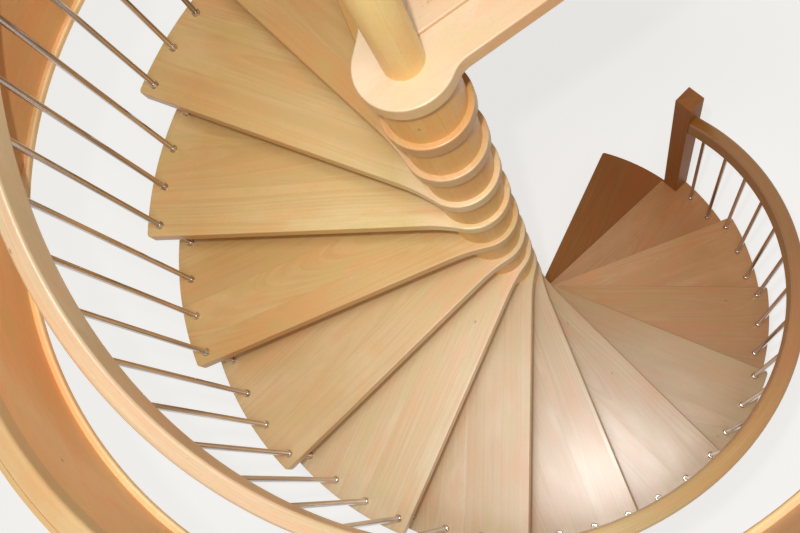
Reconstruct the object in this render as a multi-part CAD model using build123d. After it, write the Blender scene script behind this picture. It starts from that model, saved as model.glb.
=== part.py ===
from build123d import *
import math
import os

os.makedirs("parts", exist_ok=True)

# Storey and flight: millimetres and degrees, +Z up, origin on the column's axis at floor level
storey_height = 2950.0
tread_count = 15
turn = 22.3
start_angle = -90.0
rise = storey_height / (tread_count + 1)

# Column of hubs and drums on a steel tube
hub_radius = 102.0
drum_radius = 88.0
tube_radius = 30.15
tube_wall = 3.6
bore_clearance = 0.3
post_radius = 42.0
post_height = 900.0
post_edge = 3.0
tube_in_post = 120.0
foot_radius = 130.0
foot_thick = 10.0
foot_bolts = 4
foot_bolt_circle = 110.0
foot_bolt_radius = 7.0

# Treads: each edge is a straight line at its own distance from the axis
tread_radius = 961.0
tread_thick = 40.0
tread_edge = 4.0
tread_corner = 12.0
nose_offset = 87.3
nose_turn = -3.3
nose_sweep = 500.0
tail_offset = 70.0
tail_lap = 2.0
tail_sweep = 60.0

# Landing with its raised deck and the deck's border
landing_turn = 60.0
landing_corner = 1.0
border_offset = 92.0
border_width = 40.0
border_thick = 9.0
border_round = 4.0

# Balusters: steel rods with turned collars
baluster_inset = 41.0
rods_per_tread = 3
rod_radius = 8.0
collar_radius = 12.0
collar_ring = 7.5
collar_height = 14.0
collar_neck = 1.3

# Handrail: an upright laminated section that winds round the flight
rail_width = 46.0
rail_depth = 89.0
rail_top = 750.0
rail_round = 9.0
rail_under_round = 5.0
rail_pieces = 6
rail_sections = 7

# Newel posts at both ends of the handrail
newel_side = 72.0
newel_out = 9.0
newel_lead = 0.8
newel_over_rail = 139.0
newel_cap = 14.0

# Lining of the stairwell with a lip at its foot and a nosing round its top
well_gap = 39.0
lining_thick = 20.0
lining_drop = 262.0
lip_depth = 14.0
lip_height = 15.0
lip_round = 6.0
lining_pieces = 4
nosing_width = 50.0
nosing_round = 10.0
groove_inset = 10.0
groove_width = 2.0
groove_depth = 2.0
nosing_pieces = 3

# Gap left between pieces that lie side by side
gap = 0.3
full_turn = 360.0

landing_level = storey_height
landing_climb = turn * tread_count
baluster_circle = tread_radius - baluster_inset
newel_circle = baluster_circle + newel_out
lining_radius = tread_radius + well_gap
landing_radius = lining_radius + nosing_width
rail_slope = rise / (baluster_circle * math.radians(turn))


def heading(climb):
    """Plan angle, in degrees, of a point that lies climb degrees up the clockwise flight."""
    return start_angle - climb


def rail_height(climb):
    """Height of the handrail's top at a place on the flight."""
    return rise * (climb / turn + 1) + rail_top


def along(angle, length, offset):
    """Point at a length along a line with this direction and distance to its left of the axis."""
    a = math.radians(angle)
    x = length * math.cos(a) - offset * math.sin(a)
    y = length * math.sin(a) + offset * math.cos(a)
    return (x, y)


def edge_path(angle, offset, sweep_radius, outer):
    """Outer end, start of the sweep, its middle and its end on the hub, for one edge of a tread.

    The sweep is an arc outside the edge that touches both the straight edge and the hub's circle.
    """
    side = math.copysign(1.0, offset)
    centre_off = abs(offset) + sweep_radius
    centre_dist = hub_radius + sweep_radius
    reach = math.sqrt(centre_dist ** 2 - centre_off ** 2)
    centre_turn = math.degrees(math.atan2(side * centre_off, reach))
    centre = along(angle + centre_turn, centre_dist, 0)
    on_hub = along(angle + centre_turn, hub_radius, 0)
    on_line = along(angle, reach, offset)
    mid = (on_hub[0] + on_line[0] - 2 * centre[0], on_hub[1] + on_line[1] - 2 * centre[1])
    length = math.hypot(*mid)
    middle = (centre[0] + mid[0] / length * sweep_radius, centre[1] + mid[1] / length * sweep_radius)
    tip = along(angle, math.sqrt(outer ** 2 - offset ** 2), offset)
    return tip, on_line, middle, on_hub


def wedge(front_angle, rear_angle, outer):
    """Plan of a tread or landing, with the flight's front edge on its left and its hub at the origin."""
    f_tip, f_line, f_mid, f_hub = edge_path(front_angle, nose_offset, nose_sweep, outer)
    r_tip, r_line, r_mid, r_hub = edge_path(rear_angle, -tail_offset, tail_sweep, outer)
    middle = math.degrees(math.atan2(f_tip[1], f_tip[0]) + math.atan2(r_tip[1], r_tip[0])) / 2
    with BuildSketch() as plan:
        with BuildLine():
            Line(f_tip, f_line)
            ThreePointArc(f_line, f_mid, f_hub)
            ThreePointArc(f_hub, along(middle + 180, hub_radius, 0), r_hub)
            ThreePointArc(r_hub, r_mid, r_line)
            Line(r_line, r_tip)
            ThreePointArc(r_tip, along(middle, outer, 0), f_tip)
        make_face()
    return plan.sketch


def slab(plan, corners):
    """A wedge extruded up to z = 0, with its bore, its outer corners rounded and its edges softened."""
    body = extrude(plan, amount=-tread_thick)
    outer = max(math.hypot(v.X, v.Y) for v in body.vertices())
    tips = [e for e in body.edges().filter_by(Axis.Z) if math.hypot(e.center().X, e.center().Y) > outer - 1]
    body = fillet(tips, corners)
    rims = body.faces().filter_by(Axis.Z).edges()
    body = fillet(rims, tread_edge)
    bore = Cylinder(tube_radius + bore_clearance, 3 * tread_thick)
    return body - bore


def newel_box(climb, low, high, grow=0.0):
    """The square shaft of a newel, turned so that two of its faces look along the handrail."""
    side = newel_side + 2 * grow
    shaft = Pos(newel_circle, 0, (low + high) / 2) * Box(side, side, high - low)
    return Rot(0, 0, heading(climb)) * shaft


lower_newel = turn + newel_lead
upper_newel = landing_climb + newel_lead


def tread(number):
    """One tread, with a corner cut away where the lower newel stands."""
    climb = turn * (number - 1)
    plan = wedge(nose_turn, -(turn + tail_lap) + edge_angle(tail_offset, tread_radius), tread_radius)
    body = Pos(0, 0, rise * number) * Rot(0, 0, heading(climb)) * slab(plan, tread_corner)
    if number <= 2:
        body = body - newel_housing(number)
    return body


def edge_angle(offset, radius):
    """Angle between an edge at this distance from the axis and the line to its point at this radius."""
    return math.degrees(math.asin(offset / radius))


def newel_housing(number):
    """Corner taken out of the first two treads: the newel's section, open to the outside and to one edge."""
    reach = newel_side
    side = newel_side + 2 * gap
    shift = reach / 2 if number == 2 else -reach / 2
    cut = Pos(newel_circle + reach / 2, shift, rise * number) * Box(side + reach, side + reach, 3 * tread_thick)
    return Rot(0, 0, heading(lower_newel)) * cut


def landing():
    """The landing: a wide wedge that reaches over the lining to the nosing's outer edge."""
    plan = wedge(nose_turn, -landing_turn, landing_radius)
    return Pos(0, 0, landing_level) * Rot(0, 0, heading(landing_climb)) * slab(plan, landing_corner)


def field_corner(front_off, rear_off):
    """Where two lines parallel to the landing's edges cross, at these distances from the axis."""
    f = math.radians(nose_turn)
    r = math.radians(-landing_turn)
    spread = math.sin(f - r)
    x = (rear_off * math.cos(f) - front_off * math.cos(r)) / spread
    y = (rear_off * math.sin(f) - front_off * math.sin(r)) / spread
    return (x, y)


def field(inset, thick, outer):
    """Wedge over the landing, inset from its two straight edges."""
    front_off = nose_offset - inset
    rear_off = -tail_offset + inset
    corner = field_corner(front_off, rear_off)
    f_tip = along(nose_turn, math.sqrt(outer ** 2 - front_off ** 2), front_off)
    r_tip = along(-landing_turn, math.sqrt(outer ** 2 - rear_off ** 2), rear_off)
    with BuildSketch() as plan:
        with BuildLine():
            Line(f_tip, corner)
            Line(corner, r_tip)
            ThreePointArc(r_tip, along((nose_turn - landing_turn) / 2, outer, 0), f_tip)
        make_face()
    return extrude(plan.sketch, amount=thick)


def landing_deck():
    """Boards inside the border."""
    boards = field(border_offset + border_width + gap, border_thick, landing_radius)
    return Pos(0, 0, landing_level) * Rot(0, 0, heading(landing_climb)) * boards


def landing_border():
    """Raised strip round the deck, with a rounded outer edge."""
    strip = field(border_offset, border_thick, landing_radius)
    edges = [e for e in strip.faces().sort_by(Axis.Z)[-1].edges() if e.geom_type == GeomType.LINE]
    strip = fillet(edges, border_round)
    strip = strip - field(border_offset + border_width, 3 * border_thick, 2 * landing_radius)
    strip = strip - Cylinder(post_radius + gap, 6 * border_thick)
    return Pos(0, 0, landing_level) * Rot(0, 0, heading(landing_climb)) * strip


def drums():
    """Round drums between the hubs, each as tall as the space between two treads."""
    ring = []
    for level in range(tread_count + 1):
        low = foot_thick if level == 0 else rise * level
        high = rise * (level + 1) - tread_thick
        bore = Cylinder(tube_radius + bore_clearance, 2 * rise)
        drum = Pos(0, 0, (low + high) / 2) * (Cylinder(drum_radius, high - low) - bore)
        ring.append(drum)
    return ring


def centre_tube():
    """Steel tube on which the hubs and drums are threaded."""
    high = landing_level + tube_in_post
    outside = Cylinder(tube_radius, high - foot_thick)
    inside = Cylinder(tube_radius - tube_wall, 2 * high)
    return Pos(0, 0, (high + foot_thick) / 2) * (outside - inside)


def foot_plate():
    """Round steel plate under the column, with holes for the floor bolts."""
    plate = Pos(0, 0, foot_thick / 2) * Cylinder(foot_radius, foot_thick)
    for number in range(foot_bolts):
        spot = Rot(0, 0, full_turn / foot_bolts * (number + 0.5)) * Pos(foot_bolt_circle, 0, 0)
        plate = plate - spot * Cylinder(foot_bolt_radius, 4 * foot_thick)
    return plate


def upper_post():
    """Round post that carries the column's line on above the landing."""
    shaft = Cylinder(post_radius, post_height, align=(Align.CENTER, Align.CENTER, Align.MIN))
    shaft = fillet(shaft.faces().sort_by(Axis.Z)[-1].edges(), post_edge)
    bore = Cylinder(tube_radius + bore_clearance, 2 * (tube_in_post + gap))
    return Pos(0, 0, landing_level) * (shaft - bore)


def newel(climb, foot):
    """Square newel post with a low pyramid on top."""
    top = rail_height(climb) + newel_over_rail
    shaft = newel_box(climb, foot, top)
    base = Plane(origin=(newel_circle, 0, 0)) * Rectangle(newel_side, newel_side)
    cap = extrude(base, amount=newel_cap, taper=math.degrees(math.atan2(newel_side / 2 - 0.5, newel_cap)))
    return shaft + Rot(0, 0, heading(climb)) * Pos(0, 0, top) * cap


def rail_section(climb):
    """Upright section of the handrail at one place on the flight."""
    a = math.radians(heading(climb))
    centre = (baluster_circle * math.cos(a), baluster_circle * math.sin(a), rail_height(climb) - rail_depth / 2)
    plane = Plane(origin=centre, x_dir=(math.cos(a), math.sin(a), 0), z_dir=(math.sin(a), -math.cos(a), 0))
    outline = Rectangle(rail_width, rail_depth)
    outline = fillet(outline.vertices().group_by(Axis.Y)[-1], rail_round)
    outline = fillet(outline.vertices().group_by(Axis.Y)[0], rail_under_round)
    return plane * outline


def handrail():
    """The winding handrail in equal lengths, butted to the newels at both ends."""
    span = (upper_newel - lower_newel) / rail_pieces
    lengths = []
    for piece in range(rail_pieces):
        first = lower_newel + span * piece
        sections = [rail_section(first + span * i / (rail_sections - 1)) for i in range(rail_sections)]
        lengths.append(loft(sections))
    lengths[0] = lengths[0] - newel_box(lower_newel, 0, rail_height(lower_newel) + newel_over_rail, gap)
    lengths[-1] = lengths[-1] - newel_box(upper_newel, landing_level, rail_height(upper_newel) + newel_over_rail, gap)
    return lengths


def rod_on_tread(step):
    """Baluster at one of the places on a tread, cut off square to the eye but along the rail's slope."""
    height = rail_top - rail_depth + rise * step / rods_per_tread - gap
    rod = Pos(baluster_circle, 0, 0) * Cylinder(rod_radius, height + rise, align=(Align.CENTER, Align.CENTER, Align.MIN))
    under = Plane(origin=(baluster_circle, 0, height), x_dir=(1, 0, 0), z_dir=(0, rail_slope, 1))
    rod = split(rod, bisect_by=under, keep=Keep.BOTTOM)
    return rod + collar()


def collar():
    """Turned collar at the foot of a rod: a ring with a cone on it that runs up to the rod."""
    neck = rod_radius + collar_neck
    with BuildSketch(Plane.XZ) as section:
        with BuildLine():
            Polyline((0, 0), (collar_radius, 0), (collar_radius, collar_ring), (neck, collar_height), (0, collar_height), (0, 0))
        make_face()
    return Pos(baluster_circle, 0, 0) * revolve(section.sketch, axis=Axis.Z)


def spacer():
    """Rod and collar between the back of one tread and the front of the next."""
    height = rise - tread_thick
    rod = Pos(baluster_circle, 0, 0) * Cylinder(rod_radius, height, align=(Align.CENTER, Align.CENTER, Align.MIN))
    return rod + collar()


def balusters(first, last):
    """Every baluster from one tread to another; the second tread's first place holds the newel."""
    kinds = [rod_on_tread(step) for step in range(rods_per_tread)]
    rods = []
    for number in range(first, last + 1):
        for step in range(rods_per_tread):
            if number == 2 and step == 0:
                continue
            climb = turn * (number - 1 + step / rods_per_tread)
            rods.append(Pos(0, 0, rise * number) * Rot(0, 0, heading(climb)) * kinds[step])
    return rods


def spacers():
    """Spacers under the front of every tread from the third one to the landing."""
    kind = spacer()
    found = []
    for number in range(3, tread_count + 2):
        place = Pos(0, 0, rise * (number - 1)) * Rot(0, 0, heading(turn * (number - 1)))
        found.append(place * kind)
    return found


def ring_part(profile, start, sweep_angle):
    """A profile in the XZ plane revolved clockwise through an angle from a place on the flight."""
    solid = revolve(profile, axis=Axis.Z, revolution_arc=sweep_angle)
    return Rot(0, 0, heading(start) - sweep_angle) * solid


def lining_profile():
    """Section of the lining: a board with a thicker lip at its foot."""
    low = landing_level - lining_drop
    high = landing_level - tread_thick
    face = lining_radius
    back = lining_radius + lining_thick
    lip = lining_radius - lip_depth
    with BuildSketch(Plane.XZ) as section:
        with BuildLine():
            Polyline((face, low + lip_height), (face, high), (back, high), (back, low), (lip, low))
            Line((lip, low), (lip, low + lip_height - lip_round))
            RadiusArc((lip, low + lip_height - lip_round), (lip + lip_round, low + lip_height), lip_round)
            Line((lip + lip_round, low + lip_height), (face, low + lip_height))
        make_face()
    return section.sketch


def nosing_profile():
    """Section of the nosing: a flat ring with a rounded inner edge and a shadow groove."""
    low = landing_level - tread_thick
    high = landing_level
    face = lining_radius
    back = landing_radius
    groove = back - groove_inset
    with BuildSketch(Plane.XZ) as section:
        with BuildLine():
            Polyline((face, high - nosing_round), (face, low), (back, low), (back, high), (groove, high))
            Polyline((groove, high), (groove, high - groove_depth), (groove - groove_width, high - groove_depth))
            Polyline((groove - groove_width, high - groove_depth), (groove - groove_width, high))
            Line((groove - groove_width, high), (face + nosing_round, high))
            RadiusArc((face + nosing_round, high), (face, high - nosing_round), -nosing_round)
        make_face()
    return section.sketch


def lining():
    """The lining all round the stairwell, in equal curved boards."""
    arc = full_turn / lining_pieces
    joint = math.degrees(gap / lining_radius)
    profile = lining_profile()
    return [ring_part(profile, landing_climb + arc * i, arc - joint) for i in range(lining_pieces)]


def nosing():
    """The nosing in equal lengths, cut at both ends along the straight edges of the landing."""
    front = nose_turn + edge_angle(nose_offset, lining_radius)
    rear = -landing_turn - edge_angle(tail_offset, lining_radius)
    first = landing_climb - rear - math.degrees(gap)
    last = landing_climb + full_turn - front + math.degrees(gap)
    arc = (last - first) / nosing_pieces
    joint = math.degrees(gap / lining_radius)
    profile = nosing_profile()
    between = field(-gap, 2 * tread_thick, 2 * lining_radius)
    between = Pos(0, 0, landing_level - tread_thick * 1.5) * Rot(0, 0, heading(landing_climb)) * between
    lengths = [ring_part(profile, first + arc * i, arc - joint) for i in range(nosing_pieces)]
    return [length - between for length in lengths]


def save(name, shape):
    """Writes one node; a list of solids that do not touch becomes one compound."""
    if isinstance(shape, list):
        shape = Compound(children=shape)
    export_step(shape, f"parts/{name}.step")


for number in range(1, tread_count + 1):
    save(f"tread_{number:02d}", tread(number))
save("landing", landing())
save("landing_border", landing_border())
save("landing_deck", landing_deck())
save("column_drums", drums())
save("centre_tube", centre_tube())
save("foot_plate", foot_plate())
save("upper_post", upper_post())
save("lower_newel", newel(lower_newel, 0))
save("upper_newel", newel(upper_newel, landing_level))
for number, length in enumerate(handrail(), 1):
    save(f"handrail_{number}", length)
save("lower_balusters", balusters(2, 6))
save("middle_balusters", balusters(7, 11))
save("upper_balusters", balusters(12, tread_count))
save("tread_spacers", spacers())
for number, board in enumerate(lining(), 1):
    save(f"well_lining_{number}", board)
for number, board in enumerate(nosing(), 1):
    save(f"well_nosing_{number}", board)
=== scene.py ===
# %% [markdown]
# # A spiral staircase in beech and steel
# Fifteen winding treads and a landing are threaded on a round column. Steel rods stand on the treads
# and carry a handrail that winds round the flight. The solids come ready made in real size, so this
# lesson is about looks: timber that runs the right way in every piece, drawn metal, light and camera.

# %% Load the solids
import math

import bpy
import numpy as np
from mathutils import Matrix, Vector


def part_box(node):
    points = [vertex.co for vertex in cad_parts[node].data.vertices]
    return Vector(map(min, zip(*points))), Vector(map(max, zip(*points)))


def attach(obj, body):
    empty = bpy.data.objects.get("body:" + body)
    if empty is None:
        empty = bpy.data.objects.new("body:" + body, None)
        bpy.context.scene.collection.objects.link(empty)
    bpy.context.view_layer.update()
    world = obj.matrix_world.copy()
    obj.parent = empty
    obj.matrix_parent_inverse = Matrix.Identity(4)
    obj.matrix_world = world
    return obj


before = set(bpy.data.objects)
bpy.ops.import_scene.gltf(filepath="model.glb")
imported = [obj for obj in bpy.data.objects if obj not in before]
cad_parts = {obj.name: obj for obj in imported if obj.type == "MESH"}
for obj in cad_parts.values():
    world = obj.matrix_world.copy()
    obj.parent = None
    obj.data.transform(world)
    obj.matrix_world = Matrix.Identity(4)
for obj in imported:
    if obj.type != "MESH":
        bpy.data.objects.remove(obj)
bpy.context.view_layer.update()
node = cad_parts
print("solids:", len(node))

# %% [markdown]
# ## The numbers of the flight
# Every pattern below is tied to the flight itself: the height of one rise and the turn from one tread
# to the next. With these a grain can follow a tread or wind along the handrail without any texture
# image. All lengths are in metres and all angles in radians.

# %% The flight in metres and radians
storey = 2.95
tread_count = 15
rise = storey / (tread_count + 1)
turn = math.radians(22.3)
start = math.radians(-90)


def heading(steps):
    """Plan angle of a line this many steps up the clockwise flight: start minus steps times turn."""
    return start - steps * turn


print("one rise is", round(rise * 1000, 1), "mm and one turn", round(math.degrees(turn), 1), "degrees")

# %% [markdown]
# ## Small helpers for shader nodes
# A shader is a chain of little sums. A few helpers keep those chains readable: they add a node and fill
# its sockets, do arithmetic, mix two colours, or stretch a range. A socket may get a number or the
# output of another node.

# %% Helpers that add nodes


def fresh_material(name):
    """A new material and its node tree, with no nodes in it yet."""
    made = bpy.data.materials.new(name)
    made.use_nodes = True
    made.node_tree.nodes.clear()
    return made, made.node_tree


def put(tree, kind, sockets=None, **settings):
    """Adds one node, applies its settings, and fills or links the sockets given by name or place."""
    made = tree.nodes.new(kind)
    for key, value in settings.items():
        setattr(made, key, value)
    for key, value in (sockets or {}).items():
        if isinstance(value, bpy.types.NodeSocket):
            tree.links.new(value, made.inputs[key])
        else:
            made.inputs[key].default_value = value
    return made


def calc(tree, sum_kind, first, second=0.0, third=0.0):
    """One step of arithmetic on numbers or sockets."""
    step = put(tree, "ShaderNodeMath", {0: first, 1: second, 2: third}, operation=sum_kind)
    return step.outputs[0]


def blend(tree, amount, under, over, way="MIX"):
    """Mixes two colours; the amount runs from 0, all of the first, to 1, all of the second."""
    mix = put(tree, "ShaderNodeMix", None, data_type="RGBA", blend_type=way)
    for place, value in ((0, amount), (6, under), (7, over)):
        if isinstance(value, bpy.types.NodeSocket):
            tree.links.new(value, mix.inputs[place])
        elif place == 0:
            mix.inputs[place].default_value = value
        else:
            mix.inputs[place].default_value = (*value, 1.0)
    return mix.outputs[2]


def remap(tree, value, low, high, to_low=0.0, to_high=1.0):
    """Stretches a value from one range to another and keeps it inside the second."""
    made = put(tree, "ShaderNodeMapRange", {0: value, 1: low, 2: high, 3: to_low, 4: to_high})
    return made.outputs[0]


# %% [markdown]
# ## Which way the wood runs
# A joiner first asks how the grain runs. In a tread it runs from the column outwards, along the front
# edge. In a drum or a newel it stands upright, and in the handrail and the lining it bends round the
# column. So each kind of piece gets its own frame: three sockets that say how far a point lies along
# the grain, across the boards, and deep into them. The flat pieces come first, and the other frames
# follow with their own pieces. A noise that is squeezed across the grain then gives streaks along it.

# %% Flat frames and stretched noise


def place_of(tree, angle=0.0):
    """Object coordinates turned about the column's axis, as three separate numbers."""
    spot = put(tree, "ShaderNodeTexCoord").outputs["Object"]
    turned = put(tree, "ShaderNodeMapping", {"Vector": spot, "Rotation": (0.0, 0.0, -angle)})
    parts = put(tree, "ShaderNodeSeparateXYZ", {0: turned.outputs[0]})
    return parts.outputs[0], parts.outputs[1], parts.outputs[2]


def lying(angle, top):
    """Frame of a flat piece: along a line in plan, across it, and height above its top."""

    def build(tree):
        x, y, z = place_of(tree, angle)
        return x, y, calc(tree, "SUBTRACT", z, top)

    return build


def distance(tree, first, second):
    """Root of the sum of two squares."""
    squares = calc(tree, "MULTIPLY_ADD", first, first, calc(tree, "MULTIPLY", second, second))
    return calc(tree, "SQRT", squares)


def stretched(tree, x, y, z, by):
    """Three numbers, each stretched by its own factor, joined into one vector."""
    spot = put(tree, "ShaderNodeCombineXYZ", {0: x, 1: y, 2: z})
    longer = put(tree, "ShaderNodeVectorMath", {0: spot.outputs[0], 1: by}, operation="MULTIPLY")
    return longer.outputs[0]


def noise(tree, vector, detail, scale=1.0):
    """Soft noise between 0 and 1 that changes about once for every unit of the vector times the scale."""
    return put(tree, "ShaderNodeTexNoise", {"Vector": vector, "Scale": scale, "Detail": detail}).outputs[0]


# %% [markdown]
# ## Beech, from the tree to the board
# Paint a board by remembering the log. Rings are rough circles about the pith, and a board is a slice
# somewhere beside it, a little out of line with it. Where the slice grazes the rings they open into
# tall arches; elsewhere they lie as straight lines. So the shader places a pith beside each board and
# measures the distance to it. Most boards lean very little, because a cube keeps small numbers small,
# and only a few show arches.

# %% Rings and boards
ring_pitch = 0.008
pith_aside = 0.12
pith_wander = 0.030
pith_least = 0.008
pith_deeper = 0.11
ring_jump = 40.0
ring_soft = 0.40
ring_full = 0.66
line_wave = 2.2
line_power = 5.0
board_shift = 0.37


def boards(tree, across, board, seed, along, level):
    """How far across its board a point lies, from 0 to 1, and three random numbers for that board.

    Boards are counted across the piece, from a place that the seed shifts. Where a level is given, new
    boards start at each whole multiple of it along the piece.
    """
    count = calc(tree, "MULTIPLY_ADD", across, 1 / board, seed * board_shift)
    which = calc(tree, "FLOOR", count)
    inside = calc(tree, "SUBTRACT", count, which)
    length_no = 0.0 if level is None else calc(tree, "FLOOR", calc(tree, "DIVIDE", along, level))
    spot = put(tree, "ShaderNodeCombineXYZ", {0: which, 1: seed, 2: length_no})
    chance = put(tree, "ShaderNodeTexWhiteNoise", {0: spot.outputs[0]}, noise_dimensions="3D")
    dice = put(tree, "ShaderNodeSeparateColor", {0: chance.outputs["Color"]})
    return inside, (dice.outputs[0], dice.outputs[1], dice.outputs[2])


def ring_tone(tree, along, side, depth, drift, dice):
    """Soft rings and the thin dark line that ends each one, both from 0 to 1.

    The distance to the pith is the root of side squared plus depth squared, and is counted in pitches.
    The pith lies up to 0.12 m deep, mostly less because a square keeps small numbers small. It leans by
    a cube of a random number, and drifts a little sideways. Noise read along that count gives the soft
    rings; a high power of its fraction gives the lines.
    """
    first, second, third = dice
    lean = calc(tree, "SUBTRACT", third, 0.5)
    cube = calc(tree, "MULTIPLY", calc(tree, "MULTIPLY", lean, lean), lean)
    beside = calc(tree, "MULTIPLY_ADD", calc(tree, "SUBTRACT", first, 0.5), pith_aside, side)
    beside = calc(tree, "MULTIPLY_ADD", calc(tree, "SUBTRACT", drift, 0.5), pith_wander, beside)
    square = calc(tree, "MULTIPLY", second, second)
    deep_pith = calc(tree, "MULTIPLY_ADD", square, pith_deeper, pith_least)
    below = calc(tree, "SUBTRACT", calc(tree, "MULTIPLY_ADD", along, cube, deep_pith), depth)
    count = calc(tree, "DIVIDE", distance(tree, beside, below), ring_pitch)
    place = calc(tree, "MULTIPLY_ADD", first, ring_jump, count)
    rough = {"W": place, "Scale": 1.0, "Detail": 3.0, "Roughness": 0.6}
    rings = put(tree, "ShaderNodeTexNoise", rough, noise_dimensions="1D").outputs[0]
    part = calc(tree, "FRACT", calc(tree, "MULTIPLY_ADD", rings, line_wave, count))
    return remap(tree, rings, ring_soft, ring_full), calc(tree, "POWER", part, line_power)


print("rings are about", round(ring_pitch * 1000), "mm apart")

# %% [markdown]
# ## The marks of beech
# Over the rings lie the marks that make it beech: soft streaks and fine fibres along the grain, short
# dark flecks, a rare pin knot, and clouds of pinker, milkier or duller wood. Each kind of mark is one
# noise, and a table says how far it is stretched. Each board has its own tone, and a thin glue line,
# here and there a little open, parts it from the next.

# %% Colour of the timber
# Stretch along the grain, across it and into it, and detail of the noise
grain_noise = {
    "drift": ((2.2, 6.0, 6.0), 2.0),
    "streak": ((3.0, 75.0, 75.0), 3.0),
    "fibre": ((7.0, 420.0, 420.0), 3.0),
    "speck": ((70.0, 750.0, 750.0), 1.0),
    "cloud": ((2.4, 5.0, 5.0), 3.0),
    "flame": ((6.0, 16.0, 16.0), 4.0),
}
# Mark, where it starts and where it is full, how strong it is then, and its tint
soft_marks = (
    ("streak", 0.42, 0.72, 0.26, "deep"),
    ("fibre", 0.40, 0.75, 0.22, "deep"),
    ("cloud", 0.50, 0.68, 0.75, "rosy"),
    ("cloud", 0.47, 0.32, 0.80, "milky"),
    ("flame", 0.52, 0.66, 0.50, "rosy"),
    ("flame", 0.48, 0.34, 0.70, "sappy"),
)
dark_marks = (
    ("speck", 0.64, 0.74, 0.32, "dark"),
    ("knot", 0.009, 0.004, 0.75, "dark"),
)
rosy_share = (1.02, 0.79, 0.66)
milky_share = (1.05, 1.10, 1.18)
sappy_share = (0.88, 0.93, 0.76)
dark_share = (0.5, 0.5, 0.5)
knot_stretch = (1.3, 2.4, 0.0)
glue_stretch = (9.0, 30.0, 0.0)
glue_inner = 0.0001
glue_outer = 0.0007
brightest = 0.95


def scaled(colour, by):
    """A colour times three factors, no brighter than the brightest timber."""
    return tuple(min(brightest, channel * factor) for channel, factor in zip(colour, by))


def marked(tree, tone, marks, rows, tints):
    """Lays marks over a tone, each from nothing where it starts to its row's strength where it is full."""
    for mark, starts, full, most, tint in rows:
        tone = blend(tree, remap(tree, marks[mark], starts, full, 0.0, most), tone, tints[tint])
    return tone


def glue_line(tree, inside, board):
    """One on the line between two boards, and nothing a little way off it."""
    edge = calc(tree, "MINIMUM", inside, calc(tree, "SUBTRACT", 1.0, inside))
    return remap(tree, calc(tree, "MULTIPLY", edge, board), glue_inner, glue_outer, 1.0, 0.0)


print("rows of marks:", len(soft_marks) + len(dark_marks))

# %% [markdown]
# ## One recipe for every beech piece
# Every piece of timber goes through the same recipe, with its own frame, tones and seed. A stain may then
# change the colour by where a point lies in the piece; on most pieces it paints light and shade, on some
# together with a real stain. Lacquer comes last, as a clear coat with a slightly uneven gloss, and the
# fibres and glue lines are felt through it as a very low relief.

# %% Beech and its lacquer
board_jump = 7.0
least_lines = 0.2
fibre_height = 0.4
glue_depth = -0.8
relief_height = 0.0004
coat_rough = 0.24


def lacquered(tree, tone, marks, glue, gloss, coat, mirror):
    """Closes the tree with a coated surface; its relief is the fibres less the glue lines."""
    pressed = calc(tree, "MULTIPLY", glue, glue_depth)
    relief = calc(tree, "MULTIPLY_ADD", marks["fibre"], fibre_height, pressed)
    bump = put(tree, "ShaderNodeBump", {"Strength": 0.22, "Distance": relief_height, "Height": relief})
    sheen = calc(tree, "MULTIPLY_ADD", marks["fibre"], 0.3, marks["cloud"])
    finish = {
        "Base Color": tone,
        "Roughness": remap(tree, sheen, 0.4, 0.9, gloss - 0.05, gloss + 0.08),
        "Normal": bump.outputs[0],
        "Specular IOR Level": mirror,
        "Coat Weight": coat,
        "Coat Roughness": coat_rough,
    }
    shader = put(tree, "ShaderNodeBsdfPrincipled", finish)
    put(tree, "ShaderNodeOutputMaterial", {"Surface": shader.outputs[0]})


def beech(name, frame_of, pale, deep, board=0.11, seed=0.0, level=None, ringed=0.5, mixed=0.25,
          gloss=0.40, coat=0.25, mirror=0.5, stain_and_painted_light=None):
    """Lacquered beech; ringed and mixed set how much the rings and the single boards differ in tone.

    The stain and painted light is a function that may change the finished colour by where a point lies in the
    piece's frame; on most pieces it paints light and shade.
    """
    made, tree = fresh_material(name)
    along, across, depth = frame_of(tree)
    inside, dice = boards(tree, across, board, seed, along, level)
    first, second = dice[:2]
    far = calc(tree, "ADD", along, calc(tree, "MULTIPLY_ADD", first, board_jump, seed))
    marks = {}
    for mark, (by, detail) in grain_noise.items():
        marks[mark] = noise(tree, stretched(tree, far, across, depth, by), detail)
    knot_spot = {"Vector": stretched(tree, far, across, 0.0, knot_stretch), "Scale": 1.0}
    marks["knot"] = put(tree, "ShaderNodeTexVoronoi", knot_spot, voronoi_dimensions="2D").outputs[0]
    tints = {
        "deep": deep,
        "rosy": scaled(pale, rosy_share),
        "milky": scaled(pale, milky_share),
        "sappy": scaled(pale, sappy_share),
        "dark": scaled(deep, dark_share),
    }

    side = calc(tree, "MULTIPLY", calc(tree, "SUBTRACT", inside, 0.5), board)
    rings, lines = ring_tone(tree, along, side, depth, marks["drift"], dice)
    line_share = remap(tree, first, 0.0, 1.0, least_lines * ringed, ringed)
    tone = blend(tree, calc(tree, "MULTIPLY", rings, ringed), pale, deep)
    tone = blend(tree, calc(tree, "MULTIPLY", lines, line_share), tone, deep)
    tone = marked(tree, tone, marks, soft_marks, tints)
    tone = blend(tree, calc(tree, "MULTIPLY", second, mixed), tone, deep)
    tone = marked(tree, tone, marks, dark_marks, tints)

    glue = glue_line(tree, inside, board)
    shut = noise(tree, stretched(tree, far, across, 0.0, glue_stretch), 2.0)
    open_glue = remap(tree, shut, 0.50, 0.62, 0.5 * mixed, 0.30 + mixed)
    tone = blend(tree, calc(tree, "MULTIPLY", glue, open_glue), tone, tints["dark"])
    # Stain and painted light: on most pieces this paints light and shade into the colour
    if stain_and_painted_light:
        tone = stain_and_painted_light(tree, tone, along, across, depth)
    lacquered(tree, tone, marks, glue, gloss, coat, mirror)
    return made


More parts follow.
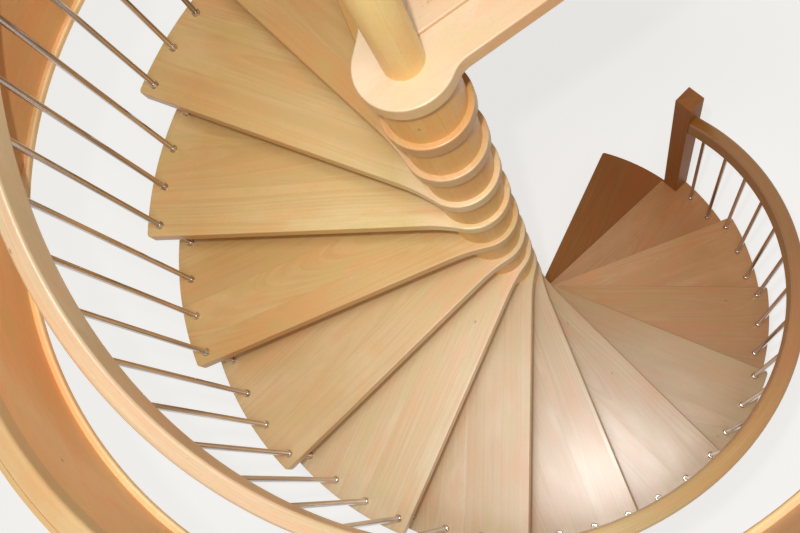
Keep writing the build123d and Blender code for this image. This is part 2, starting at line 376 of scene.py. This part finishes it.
def dress(names, material):
    """Gives a finish to solids by name."""
    for name in names:
        mesh = node[name].data
        mesh.materials.clear()
        mesh.materials.append(material)
    print("solids dressed in", material.name + ":", len(names))


# %% [markdown]
# ## The treads
# No two treads come from the same boards. Each one gets its own material, turned to its own heading,
# with its own seed. The tones go from honey at the top of the flight over cream in its middle to a
# golden brown at its foot. They are partly the wood's own tones and partly painted shade: the foot is
# painted darker where the light falls off far below, and the topmost treads are painted darker to hold
# back the lamp close above them. So a few rows are given and the treads between them are read off in
# between. One material with a random number for each tread could serve them all, but then the grain
# could not turn with the tread, nor the tone follow the flight. In most treads the outer end is darker
# than the wood near the column; this is painted shade, where the light falls off towards the outside.
# The edges take more stain than the tops, so they are a little redder, and this is partly painted light
# that lifts the red of the sides the light only grazes. The rings round the column are painted paler
# towards the top of the flight, as painted light where the light on them is strongest.

# %% Dress the treads
nose_turn = math.radians(-3.3)
tread_board = 0.118
tread_seed = 1.7
hub_inner = 0.11
hub_outer = 0.17
end_inner = 0.35
end_outer = 0.80
edge_inner = 0.12
edge_outer = 0.25
edge_top = -0.002
edge_foot = -0.007
deep_share = np.array((0.84, 0.77, 0.66))
# Painted shade of the outer ends, painted light of the hubs, and the edges' share, which is partly stain and
# partly painted light
outer_shade_share = np.array((0.84, 0.74, 0.63))
hub_light_share = np.array((1.35, 1.45, 2.10))
edge_share = (1.03, 0.82, 0.58)
# Tread number, pale red, green and blue, painted shade of the outer end, painted light of the hub, coat and
# mirror
tread_rows = np.array((
    (1.0, 0.46, 0.19, 0.05, 1.00, 0.0, 0.05, 0.20),
    (2.5, 0.90, 0.56, 0.32, 1.45, 0.0, 0.08, 0.22),
    (4.0, 0.66, 0.37, 0.13, 1.10, 0.0, 0.35, 0.60),
    (5.0, 0.57, 0.35, 0.14, 0.00, 0.0, 0.45, 0.75),
    (7.0, 0.73, 0.54, 0.33, 1.00, 0.0, 0.45, 0.75),
    (9.0, 0.93, 0.75, 0.48, 0.60, 0.0, 0.40, 0.65),
    (11.0, 0.79, 0.56, 0.25, 1.10, 0.2, 0.30, 0.50),
    (12.6, 0.84, 0.66, 0.33, 1.30, 0.4, 0.30, 0.50),
    (14.5, 0.50, 0.28, 0.08, 1.00, 1.0, 0.30, 0.50),
))


def below_top(tree, depth):
    """Nothing at 2 mm below a flat piece's top, and one from 7 mm down, so only its sides are meant."""
    return remap(tree, depth, edge_top, edge_foot)


def tread_stain_and_shade(ends, hub):
    """Stain and painted light of one tread: painted shade, darker towards the outer end, from 0.35 m to
    0.80 m out, and redder edges, partly stain and partly painted light.

    The edge's share grows from 0.12 m to 0.25 m out. Inside 0.11 m lies the hub, which a positive hub
    number makes paler, as painted light.
    """
    outer = tuple(1.0 - ends * (1.0 - outer_shade_share))
    paler = tuple(1.0 + hub * (hub_light_share - 1.0))

    def stain_and_painted_light(tree, tone, along, across, depth):
        away = distance(tree, along, across)
        tone = blend(tree, remap(tree, along, end_inner, end_outer), tone, outer, "MULTIPLY")
        tone = blend(tree, remap(tree, away, hub_outer, hub_inner), tone, paler, "MULTIPLY")
        outside_hub = remap(tree, away, edge_inner, edge_outer)
        edge = calc(tree, "MULTIPLY", below_top(tree, depth), outside_hub)
        return blend(tree, edge, tone, edge_share, "MULTIPLY")

    return stain_and_painted_light


for number in range(1, tread_count + 1):
    values = [float(np.interp(number, tread_rows[:, 0], column)) for column in tread_rows[:, 1:].T]
    pale = np.array(values[:3])
    ends, hub, coat, mirror = values[3:]
    grain = lying(heading(number - 1) + nose_turn, rise * number)
    name = f"tread_{number:02d}"
    timber = beech("beech_" + name, grain, tuple(pale), tuple(pale * deep_share), board=tread_board,
                   seed=number * tread_seed, ringed=0.70, mixed=0.32, gloss=0.38, coat=coat,
                   mirror=mirror, stain_and_painted_light=tread_stain_and_shade(ends, hub))
    dress([name], timber)

# %% [markdown]
# ## The landing
# The landing's boards run along its rear edge. The raised border is one strip of pale beech, and the
# deck inside it is laid in narrow boards. The rings could be as strong as those of the treads, but the
# real landing is calm, so they are held back. The sides are painted lighter and warmer than the top:
# painted light, for the light that falls on them.

# %% Dress the landing
landing_turn = math.radians(60)
cream = (0.690, 0.510, 0.330)
cream_deep = (0.630, 0.440, 0.260)
deck_pale = (0.67, 0.46, 0.27)
deck_deep = (0.57, 0.36, 0.18)
# Painted light on the landing's sides: lighter and warmer than the top
side_light_share = (1.24, 1.09, 0.80)
rear_grain = lying(heading(tread_count) - landing_turn, storey)


def painted_light_sides(tree, tone, along, across, depth):
    """Paints light on the sides, making them lighter and warmer, and leaves the top as it is."""
    return blend(tree, below_top(tree, depth), tone, side_light_share, "MULTIPLY")


dress(["landing"], beech("beech_landing", rear_grain, cream, cream_deep, board=0.14, seed=4.0,
                         ringed=0.25, mixed=0.1, stain_and_painted_light=painted_light_sides))
dress(["landing_border"], beech("beech_border", rear_grain, cream, cream_deep, board=0.3, seed=9.0,
                                ringed=0.25, mixed=0.1))
dress(["landing_deck"], beech("beech_deck", rear_grain, deck_pale, deck_deep, board=0.07, seed=6.0))

# %% [markdown]
# ## Drums and post
# The drums are coopered: upright staves glued into a ring and turned round. The shader counts staves
# round the column, and the level of the drum joins the seed, so that no drum repeats the one below. The
# round post above the landing is made in the same way, from fewer staves. Wrapped images would need a
# seam on every drum; an angle has only one, and it is turned away from the camera.

# %% Dress the column
drum_radius = 0.088
drum_staves = 18
post_radius = 0.042
post_staves = 8
drum_tones = ((0.950, 0.570, 0.175), (0.930, 0.450, 0.110))
post_tones = ((0.94, 0.68, 0.27), (0.90, 0.58, 0.19))


def polar(tree, angle):
    """Angle round the column, with its seam at a chosen place, distance from its middle, and height."""
    x, y, z = place_of(tree, angle + math.pi)
    return calc(tree, "ARCTAN2", y, x), distance(tree, x, y), z


def staved(radius):
    """Frame of a drum: along is up, across goes round the drum, and depth is measured from its face."""

    def build(tree):
        around, away, z = polar(tree, 0.0)
        return z, calc(tree, "MULTIPLY", around, radius), calc(tree, "SUBTRACT", away, radius)

    return build


drum_board = 2 * math.pi * drum_radius / drum_staves
post_board = 2 * math.pi * post_radius / post_staves
dress(["column_drums"], beech("beech_staves", staved(drum_radius), *drum_tones, board=drum_board,
                              seed=2.0, level=rise, ringed=0.35, mixed=0.2))
dress(["upper_post"], beech("beech_post", staved(post_radius), *post_tones, board=post_board,
                            seed=5.0, ringed=0.3, mixed=0.15))

# %% [markdown]
# ## Newels
# A newel is one square length of timber, so its grain is measured from its own middle and no glue line
# shows. It could be lacquered like the treads, but the real one hardly shines, so it has no coat. The
# lower one is painted as brown as the treads round it, which is painted shade like theirs at the foot
# of the flight, and the upper one keeps the honey tone of those there.

# %% Dress the newels
newel_circle = 0.929
newel_ahead = 0.036
# The lower newel's brown is painted shade
shaded_brown_tones = ((0.42, 0.165, 0.045), (0.32, 0.110, 0.025))
honey_tones = ((0.76, 0.52, 0.30), (0.67, 0.41, 0.20))


def upright(angle, away):
    """Frame of a post: along is up, and the other two lie in plan, from the post's own middle."""

    def build(tree):
        x, y, z = place_of(tree, angle)
        return z, y, calc(tree, "SUBTRACT", x, away)

    return build


newel_rows = (("lower_newel", 1, 3.0, shaded_brown_tones), ("upper_newel", tread_count, 8.0, honey_tones))
for name, step, seed, tones in newel_rows:
    grain = upright(heading(step + newel_ahead), newel_circle)
    timber = beech("beech_" + name, grain, *tones, board=0.2, seed=seed, coat=0.0, gloss=0.5, mirror=0.2)
    dress([name], timber)

# %% [markdown]
# ## The handrail
# The handrail is glued up from thin strips bent round the flight, so its grain and its glue lines wind
# with it. The shader unrolls it: the angle gives the length along the rail, and the height is measured
# from the slope. An unwrapped image could do that too, but would stretch where the rail twists. Its
# tone goes from brown at the foot to pale near the landing; this is painted shade and light, darker far
# down where the light falls off and paler near the landing, and the same angle reads it off a short row
# of colours.

# %% Dress the handrail
rod_circle = 0.920
rail_top = 0.750
rail_lengths = 6
rail_strip = 0.0077
rail_slope = rise / turn
rail_tones = ((0.85, 0.62, 0.40), (0.75, 0.51, 0.29))
# Painted shade and light along the climb: brown far down the flight, pale near the landing
painted_rail_light = (
    (0.08, (0.50, 0.31, 0.12)),
    (0.18, (0.49, 0.30, 0.12)),
    (0.26, (0.68, 0.42, 0.22)),
    (0.32, (0.79, 0.64, 0.37)),
    (0.38, (0.90, 0.89, 0.70)),
    (0.51, (1.00, 1.00, 1.00)),
    (0.63, (0.86, 0.90, 0.90)),
)


def bent(radius, seam, level, climb=0.0):
    """Frame of a bent piece: along goes round the column, across is radial, and depth is height over a level.

    Climb is the piece's rise for one radian. The angle falls as the flight climbs, so climb times the
    angle is added, and the height left over is the height above the slope.
    """

    def build(tree):
        around, away, z = polar(tree, seam)
        high = calc(tree, "MULTIPLY_ADD", around, climb, calc(tree, "SUBTRACT", z, level))
        return calc(tree, "MULTIPLY", around, radius), calc(tree, "SUBTRACT", away, radius), high

    return build


def ramp(tree, amount, stops):
    """Colour read off a row of stops; each stop is a place from 0 to 1 and the colour there."""
    made = put(tree, "ShaderNodeValToRGB", {0: amount})
    row = made.color_ramp.elements
    for end in (0, -1):
        row[end].position = stops[end][0]
        row[end].color = (*stops[end][1], 1.0)
    for place, colour in stops[1:-1]:
        row.new(place).color = (*colour, 1.0)
    return made.outputs[0]


def rail_light_and_shade(tree, tone, along, across, depth):
    """Multiplies the colour by painted light and shade read off by the climb: one half less along over the
    whole turn.
    """
    climbed = calc(tree, "MULTIPLY_ADD", along, -0.5 / (math.pi * rod_circle), 0.5)
    return blend(tree, 1.0, tone, ramp(tree, climbed, painted_rail_light), "MULTIPLY")


rail_level = rail_slope * math.pi + rise + rail_top
rail_grain = bent(rod_circle, start, rail_level, rail_slope)
rail_names = [f"handrail_{k}" for k in range(1, rail_lengths + 1)]
dress(rail_names, beech("beech_rail", rail_grain, *rail_tones, board=rail_strip, seed=7.0,
                        ringed=0.25, mixed=0.12, coat=0.5, mirror=0.35, stain_and_painted_light=rail_light_and_shade))

# %% [markdown]
# ## The lining of the stairwell
# The lining is bent in the same way as the rail, but stands on edge and lies level. The rail's frame
# would count its boards through the thickness, so here the height runs across them. Its lip at the foot
# is a paler strip, partly painted highlight where its rounded top catches the light. The nosing on top
# lies flat and is framed like the rail, without the climb.

# %% Dress the lining and the nosing
lining_radius = 1.000
lining_drop = 0.262
lip_height = 0.015
lip_blur = 0.0005
# Paler lip, partly painted highlight
lip_and_highlight_share = (1.15, 1.50, 1.90)
lining_lengths = 4
nosing_lengths = 3
lining_tones = ((0.83, 0.45, 0.185), (0.74, 0.37, 0.137))
nosing_tones = ((0.620, 0.410, 0.190), (0.550, 0.330, 0.135))


def wrapped(radius, seam, level):
    """Frame of an upright board bent round the well: along goes round, across is height, depth is radial."""

    def build(tree):
        around, away, z = polar(tree, seam)
        along = calc(tree, "MULTIPLY", around, radius)
        return along, calc(tree, "SUBTRACT", z, level), calc(tree, "SUBTRACT", away, radius)

    return build


def pale_lip_and_highlight(tree, tone, along, across, depth):
    """Makes the lip at the lining's foot paler, partly as painted highlight: all of the change below the
    lip's top, none above it.
    """
    lip_top = lip_height - lining_drop
    at_lip = remap(tree, across, lip_top + lip_blur, lip_top - lip_blur)
    return blend(tree, at_lip, tone, lip_and_highlight_share, "MULTIPLY")


lining_grain = wrapped(lining_radius, start + turn, storey)
nosing_grain = bent(lining_radius, start + turn, storey)
lining_names = [f"well_lining_{k}" for k in range(1, lining_lengths + 1)]
nosing_names = [f"well_nosing_{k}" for k in range(1, nosing_lengths + 1)]
dress(lining_names, beech("beech_lining", lining_grain, *lining_tones, board=0.4, seed=2.0, ringed=0.3,
                          stain_and_painted_light=pale_lip_and_highlight))
dress(nosing_names, beech("beech_nosing", nosing_grain, *nosing_tones, board=0.4, seed=3.5, ringed=0.3))

# %% [markdown]
# ## Steel
# The balusters are drawn stainless rods, polished along their length. Metal has hardly any colour of
# its own: it shows its surroundings, so what matters is how sharp that picture is. Fine lengthwise lines
# and a faint haze of handling break it up. Broader bands along the rod are a little darker; they are
# painted reflection, standing in for dark surroundings mirrored in the rod. An anisotropic shader could
# smear the picture sideways, but on a rod this thin the lines alone look the same.

# %% Dress the steel
drawn_stretch = (900.0, 900.0, 14.0)
# The bands below are painted reflection
reflection_band_stretch = (170.0, 170.0, 1.5)
haze_scale = 9.0
haze_rough = 0.12
haze_share = 0.82
reflection_band_share = 0.3


def steel(name, colour, low, high, reflection_banding=0.2):
    """Metal whose roughness, from low to high, follows drawn lines; the reflection banding is how dark its
    painted reflection bands are.
    """
    made, tree = fresh_material(name)
    x, y, z = place_of(tree)
    drawn = noise(tree, stretched(tree, x, y, z, drawn_stretch), 3.0)
    haze = noise(tree, put(tree, "ShaderNodeTexCoord").outputs["Object"], 4.0, scale=haze_scale)
    reflection_bands = noise(tree, stretched(tree, x, y, z, reflection_band_stretch), 1.0)
    hazed = remap(tree, haze, 0.5, 0.8, 0.0, haze_rough)
    rough = calc(tree, "ADD", remap(tree, drawn, 0.3, 0.7, low, high), hazed)
    dull, dark = (tuple(share * channel for channel in colour) for share in (haze_share, reflection_band_share))
    tone = blend(tree, remap(tree, haze, 0.35, 0.75), colour, dull)
    # Darker bands along the rod: painted reflection of dark surroundings
    tone = blend(tree, remap(tree, reflection_bands, 0.42, 0.62, 0.0, reflection_banding), tone, dark)
    bump = put(tree, "ShaderNodeBump", {"Strength": 0.12, "Distance": 0.0002, "Height": drawn})
    finish = {"Base Color": tone, "Roughness": rough, "Metallic": 1.0, "Normal": bump.outputs[0]}
    shader = put(tree, "ShaderNodeBsdfPrincipled", finish)
    put(tree, "ShaderNodeOutputMaterial", {"Surface": shader.outputs[0]})
    return made


rod_names = ["lower_balusters", "middle_balusters", "upper_balusters", "tread_spacers"]
dress(rod_names, steel("polished_rods", (0.66, 0.57, 0.51), 0.10, 0.20, reflection_banding=0.60))
dress(["centre_tube"], steel("plain_tube", (0.50, 0.50, 0.51), 0.30, 0.45))

# %% [markdown]
# ## The painted foot
# The foot plate is painted grey. One flat grey would look like plastic. Paint on steel is slightly
# rippled, and dust settles on it, so one fine noise moves the surface and a coarser one lays on patches
# of dust.

# %% Dress the foot plate
foot_grey = (0.22, 0.22, 0.23)
dust_tone = (0.42, 0.41, 0.39)
dust_scale = 28.0
ripple_scale = 420.0


def painted(name, colour):
    """Satin paint with a faint orange-peel ripple and dusty patches."""
    made, tree = fresh_material(name)
    spot = put(tree, "ShaderNodeTexCoord").outputs["Object"]
    ripple = noise(tree, spot, 2.0, scale=ripple_scale)
    dust = noise(tree, spot, 5.0, scale=dust_scale)
    tone = blend(tree, remap(tree, dust, 0.5, 0.75, 0.0, 0.35), colour, dust_tone)
    bump = put(tree, "ShaderNodeBump", {"Strength": 0.15, "Distance": 0.0002, "Height": ripple})
    rough = remap(tree, dust, 0.3, 0.8, 0.35, 0.6)
    finish = {"Base Color": tone, "Roughness": rough, "Normal": bump.outputs[0]}
    shader = put(tree, "ShaderNodeBsdfPrincipled", finish)
    put(tree, "ShaderNodeOutputMaterial", {"Surface": shader.outputs[0]})
    return made


dress(["foot_plate"], painted("painted_foot", foot_grey))

# %% [markdown]
# ## Anchors through the foot
# Four anchors hold the foot plate down. Each is a small stack: a washer, a hexagon nut whose corners
# are turned off, and the end of a stud. Three cylinders could be stacked, but seen as rings of points
# it is one closed surface, because a hexagon is only a ring whose radius grows from the middle of each
# flat towards its corners.

# %% Bolt the foot down
anchor_count = 4
anchor_circle = 0.110
ring_steps = 48
washer_radius = 0.012
washer_top = 0.0025
nut_flat = 0.0095
nut_turned = 0.0100
nut_chamfer = 0.0012
nut_top = 0.0125
stud_radius = 0.006
stud_end_radius = 0.005
stud_chamfer = 0.001
stud_top = 0.0185


def anchor_stack():
    """Rings of one anchor from under its washer up to the stud's end, as rings by steps by x, y, z.

    A point is the radius times the cosine and the sine of its angle, and the ring's height. A nut's
    radius is the flat's distance over the cosine of the angle from the middle of the nearest flat, and
    at its top the smaller of that and the turned radius.
    """
    turns = np.linspace(0.0, 2 * np.pi, ring_steps, endpoint=False)
    hexagon = nut_flat / np.cos((turns + np.pi / 6) % (np.pi / 3) - np.pi / 6)
    turned = np.minimum(hexagon, nut_turned)
    washer = np.full(ring_steps, washer_radius)
    stud = np.full(ring_steps, stud_radius)
    stud_end = np.full(ring_steps, stud_end_radius)
    radii = np.array((washer, washer, hexagon, hexagon, turned, stud, stud, stud_end))
    heights = np.array((0.0, washer_top, washer_top, nut_top - nut_chamfer, nut_top, nut_top,
                        stud_top - stud_chamfer, stud_top))
    levels = np.repeat(heights[:, None], ring_steps, axis=1)
    return np.stack((radii * np.cos(turns), radii * np.sin(turns), levels), axis=2)


def stack_faces(stacks, rings):
    """Four-sided faces between neighbouring rings of every stack, and one face over each end."""
    index = np.arange(stacks * rings * ring_steps).reshape(stacks, rings, ring_steps)
    beside = np.roll(index, -1, axis=2)
    sides = np.stack((index[:, :-1], beside[:, :-1], beside[:, 1:], index[:, 1:]), axis=3)
    return sides.reshape(-1, 4).tolist() + index[:, 0, ::-1].tolist() + index[:, -1].tolist()


stack = anchor_stack()
spots = 2 * np.pi / anchor_count * (np.arange(anchor_count) + 0.5)
plate_top = np.full(anchor_count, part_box("foot_plate")[1][2])
centres = np.stack((anchor_circle * np.cos(spots), anchor_circle * np.sin(spots), plate_top), axis=1)
points = (centres[:, None, None] + stack[None]).reshape(-1, 3)
anchor_mesh = bpy.data.meshes.new("floor_anchors")
anchor_mesh.from_pydata(points.tolist(), [], stack_faces(anchor_count, len(stack)))
anchors = bpy.data.objects.new("floor_anchors", anchor_mesh)
bpy.context.scene.collection.objects.link(anchors)
anchor_mesh.materials.append(steel("zinc_anchors", (0.62, 0.61, 0.58), 0.24, 0.40))
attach(anchors, "root")
print("anchors:", anchor_count, "with", len(anchor_mesh.polygons), "faces")

# %% [markdown]
# ## Floor and surroundings
# The floor is a plain pale sheet that has to look light without lighting the stair from below. White
# paint alone would throw its light up at the treads. So much of its brightness is a glow that only the
# camera and mirrors see, and the rest is matt paint, which keeps the shadow. The surroundings do the
# same: they light the stair faintly all round, and look white where they are seen.

# %% Floor and world
floor_half = 30.0
floor_gap = 0.002
floor_tone = (0.54, 0.532, 0.518, 1.0)
floor_glow = 0.64
glow_tone = (1.0, 0.99, 0.97, 1.0)
sky_tone = (1.0, 0.985, 0.96, 1.0)
world_light = 0.30
world_seen = 0.65


def looked_at(tree):
    """One for rays that come from the camera, a mirror or through glass, and nothing for all others."""
    path = put(tree, "ShaderNodeLightPath").outputs
    bounced = calc(tree, "MAXIMUM", path["Is Glossy Ray"], path["Is Transmission Ray"])
    return calc(tree, "MAXIMUM", path["Is Camera Ray"], bounced)


floor_mesh = bpy.data.meshes.new("floor")
floor_points = [(-floor_half, -floor_half, 0), (floor_half, -floor_half, 0),
                (floor_half, floor_half, 0), (-floor_half, floor_half, 0)]
floor_mesh.from_pydata(floor_points, [], [(0, 1, 2, 3)])
floor = bpy.data.objects.new("floor", floor_mesh)
floor.location.z = -floor_gap
bpy.context.scene.collection.objects.link(floor)
floor_paint, tree = fresh_material("floor_pale")
matt = put(tree, "ShaderNodeBsdfDiffuse", {"Color": floor_tone})
shown = calc(tree, "MULTIPLY", looked_at(tree), floor_glow)
glow = put(tree, "ShaderNodeEmission", {"Color": glow_tone, "Strength": shown})
both = put(tree, "ShaderNodeAddShader", {0: matt.outputs[0], 1: glow.outputs[0]})
put(tree, "ShaderNodeOutputMaterial", {"Surface": both.outputs[0]})
floor_mesh.materials.append(floor_paint)

world = bpy.data.worlds.new("studio")
bpy.context.scene.world = world
world.use_nodes = True
tree = world.node_tree
tree.nodes.clear()
strength = calc(tree, "MULTIPLY_ADD", looked_at(tree), world_seen, world_light)
sky = put(tree, "ShaderNodeBackground", {"Color": sky_tone, "Strength": strength})
put(tree, "ShaderNodeOutputWorld", {"Surface": sky.outputs[0]})
print("the floor is", round(2 * floor_half), "m square")

# %% [markdown]
# ## Camera
# The picture looks down into the stairwell from 1.3 m above the landing. The place, the turn and the
# lens come from the sizes above: they are the ones at which every baluster foot, tread corner and hub
# ring falls on its place in the picture. It could be aimed by eye, but then nothing would fall on its
# place. The camera looks along its own minus z, with y up, so its turn is a matrix of three columns.

# %% Place the camera
frame_width = 800
lens_in_pixels = 829.9
sensor_width = 36.0
eye = (-0.6068, 0.5519, 4.2785)
right = np.array((-0.88777, -0.38693, -0.24930))
ahead = np.array((0.32228, -0.13582, -0.93685))
spin = np.array((right, np.cross(right, ahead), -ahead)).T
camera_data = bpy.data.cameras.new("view")
camera_data.sensor_width = sensor_width
camera_data.lens = lens_in_pixels / frame_width * sensor_width
camera = bpy.data.objects.new("view", camera_data)
bpy.context.scene.collection.objects.link(camera)
camera.matrix_world = Matrix.Translation(eye) @ Matrix(spin.tolist()).to_4x4()
bpy.context.scene.camera = camera
print("the lens is", round(camera_data.lens, 1), "mm long")

# %% [markdown]
# ## Lamps
# The surroundings alone would light the stair flatly, so two lamps are added. A small one just above
# the camera works like a flash: its shadows are narrow and fall under the front edges, and it leaves a
# bright spot on the lacquer. A larger one hangs higher up over the same place and softens it. The view
# transform stays plain, so a colour renders about as it is written.

# %% Hang the lamps
flash_shift = (0.139, -0.036, 0.20)
flash_size = 0.06
flash_power = 20.0
flash_tone = (1.0, 0.985, 0.965)
overhead_height = 6.5
overhead_size = 1.3
overhead_power = 73.0


def lamp(name, place, aim, size, power, colour=(1.0, 1.0, 1.0)):
    """A square soft lamp at one place, turned to look at another."""
    data = bpy.data.lights.new(name, "AREA")
    data.size = size
    data.energy = power
    data.color = colour
    made = bpy.data.objects.new(name, data)
    made.location = place
    ray = np.array(aim) - np.array(place)
    level = math.hypot(ray[0], ray[1])
    made.rotation_euler = (math.atan2(level, -ray[2]), 0.0, math.atan2(-ray[0], ray[1]) if level else 0.0)
    bpy.context.scene.collection.objects.link(made)


above = np.array(eye) + flash_shift
lamp("key", above, above + ahead, flash_size, flash_power, flash_tone)
lamp("overhead", (eye[0], eye[1], overhead_height), (eye[0], eye[1], 0.0), overhead_size, overhead_power)
bpy.context.scene.view_settings.view_transform = "Standard"
print("lamps:", len(bpy.data.lights))
